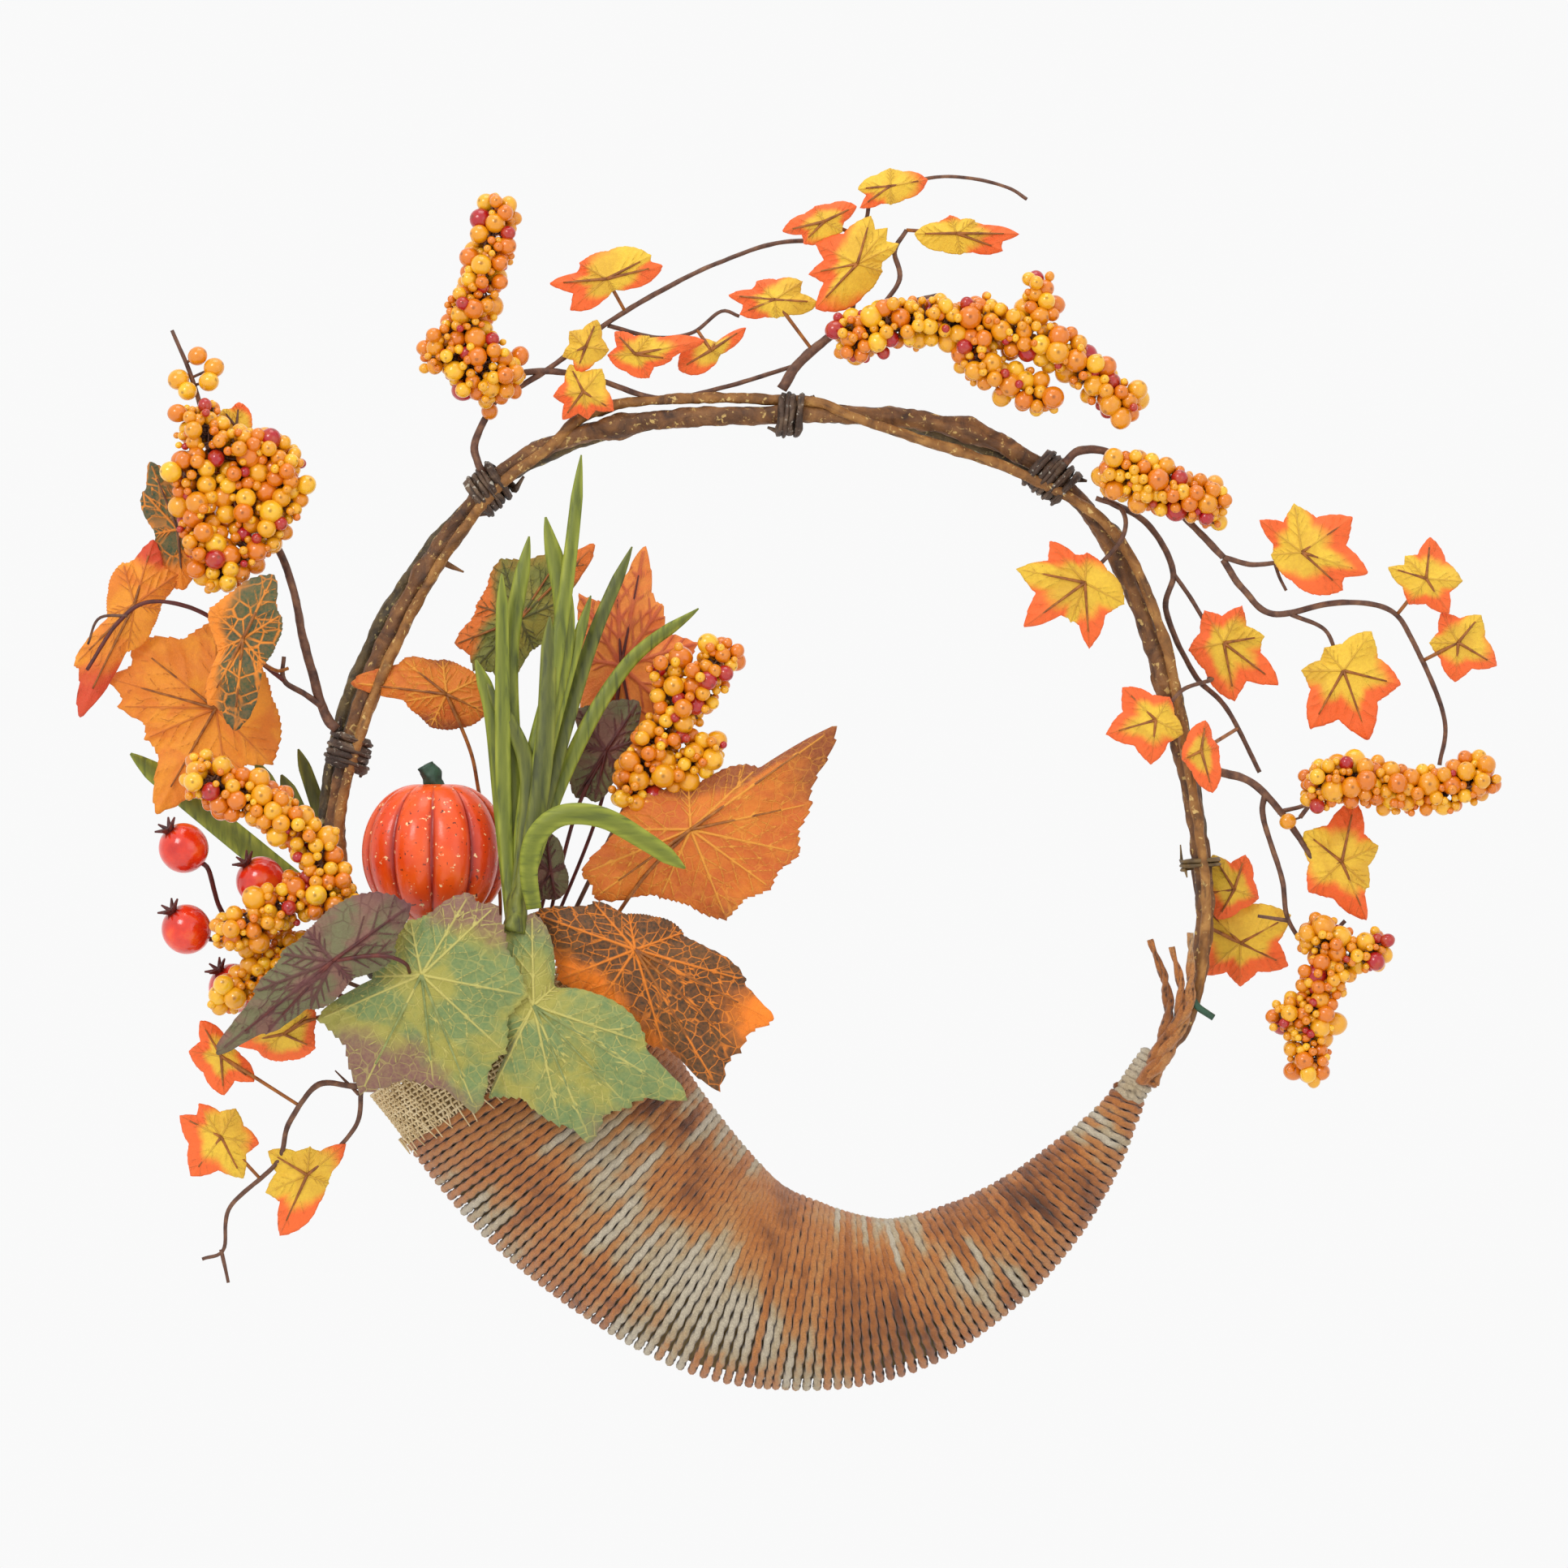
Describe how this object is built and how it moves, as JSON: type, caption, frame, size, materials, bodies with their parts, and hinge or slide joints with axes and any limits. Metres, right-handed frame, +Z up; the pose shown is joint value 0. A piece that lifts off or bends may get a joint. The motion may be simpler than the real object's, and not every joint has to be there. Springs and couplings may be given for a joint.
{
  "type": "door wreath",
  "caption": "Harvest door wreath: a twisted vine ring running into a twine-wrapped horn, with wired sprays of berries and leaves, a pumpkin and rose hips.",
  "frame": {"origin": "underside of the ring's top vine, where a door hook carries the wreath", "axes": "+X to the viewer's right along the wreath's width, +Z up, +Y into the door"},
  "size_m": [0.604, 0.1326, 0.5171],
  "materials": {
    "main_vine": "brown bark with gold flecks",
    "second_vine": "old olive-grey bark",
    "third_vine": "thin tan vine",
    "tie_twig": "dark glossy wrapped twig",
    "tie_wire": "thin brown florist's wire",
    "pick_wire": "green coated pick",
    "horn_form": "pressed fibre form",
    "twine": "two-ply twisted paper twine, rust with beige patches",
    "burlap": "coarse plain weave",
    "foam": "floral foam",
    "pumpkin_skin": "ribbed, speckled, part gloss",
    "pumpkin_stem": "moulded stem",
    "grass": "folded paper blades",
    "berry": "glossy amber berries with a few red ones",
    "rose_hip": "glossy red-orange",
    "stem": "wrapped wire stems",
    "leaf_green": "printed polyester leaf",
    "leaf_purple": "printed polyester leaf",
    "leaf_orange": "printed polyester leaf",
    "leaf_dark": "printed polyester leaf",
    "leaf_maple": "printed polyester leaf",
    "leaf_gold": "printed polyester leaf"
  },
  "bodies": {
    "wreath": {"ring_vine_main": "main_vine", "ring_vine_second": "second_vine", "ring_vine_third": "third_vine", "horn_core": "horn_form", "horn_tail": "twine", "horn_twine_wrap": "twine", "burlap_lining": "burlap", "green_pick_stub": "pick_wire", "tie_left": "tie_twig", "tie_upper_left": "tie_twig", "tie_top": "tie_twig", "tie_upper_right": "tie_twig", "wire_tie_right": "tie_wire", "pumpkin_stem": "pumpkin_stem", "pumpkin_body": "pumpkin_skin", "grass_bundle": "grass", "grass_curl": "grass", "pumpkin_pick": "pick_wire", "grass_left": "grass", "rose_hip_upper": "rose_hip", "rose_hip_middle": "rose_hip", "rose_hip_inner": "rose_hip", "rose_hip_low": "rose_hip", "berries_mouth_right": "berry", "berries_mouth_left": "berry", "berries_mouth_low": "berry", "rose_hip_stems": "stem", "green_leaf_left": "leaf_green", "green_leaf_right": "leaf_green", "purple_leaf_left": "leaf_purple", "dark_veined_leaf": "leaf_dark", "orange_leaf_right": "leaf_orange", "maple_leaf": "leaf_maple", "long_leaf_back": "leaf_orange", "purple_leaf_upper": "leaf_purple", "purple_leaf_low": "leaf_purple", "folded_leaf_left": "leaf_orange", "gold_leaf_low": "leaf_gold", "right_sprig": "stem", "ring_leaf_right": "leaf_gold", "ring_leaf_inner": "leaf_gold", "ring_leaves_back": "leaf_gold", "bottom_left_stem": "stem", "foam_block": "foam"},
    "left_spray": {"left_spray_stem": "stem", "left_spray_berries": "berry", "left_spray_leaf_large": "leaf_orange", "left_spray_leaf_folded": "leaf_orange", "left_spray_leaf_veined": "leaf_dark", "left_spray_leaf_dark": "leaf_green"},
    "upper_left_spray": {"upper_left_spray_stem": "stem", "upper_left_spray_berries": "berry"},
    "top_spray": {"top_spray_stem": "stem", "top_spray_berries": "berry"},
    "upper_right_spray": {"upper_right_spray_stem": "stem", "upper_right_spray_berries": "berry"},
    "lower_right_spray": {"lower_right_spray_stem": "stem", "lower_right_spray_berries": "berry", "lower_right_spray_berries_low": "berry"}
  },
  "joints": [
    {"name": "left_spray_bend", "type": "hinge", "parent": "wreath", "child": "left_spray", "pos_m": [-0.186, -0.002, -0.131], "axis": [0.2, 0, 0.9798], "range_deg": [0, 20]},
    {"name": "upper_left_spray_bend", "type": "hinge", "parent": "wreath", "child": "upper_left_spray", "pos_m": [-0.124, -0.003, -0.018], "axis": [0.7828, 0, 0.6222], "range_deg": [0, 20]},
    {"name": "top_spray_bend", "type": "hinge", "parent": "wreath", "child": "top_spray", "pos_m": [0.004, -0.005, 0.012], "axis": [1, 0, 0], "range_deg": [0, 20]},
    {"name": "upper_right_spray_bend", "type": "hinge", "parent": "wreath", "child": "upper_right_spray", "pos_m": [0.129, -0.009, -0.013], "axis": [0.7828, 0, -0.6222], "range_deg": [0, 20]},
    {"name": "lower_right_spray_bend", "type": "hinge", "parent": "wreath", "child": "lower_right_spray", "pos_m": [0.178, -0.009, -0.143], "axis": [0.2201, 0, -0.9755], "range_deg": [0, 20]}
  ]
}
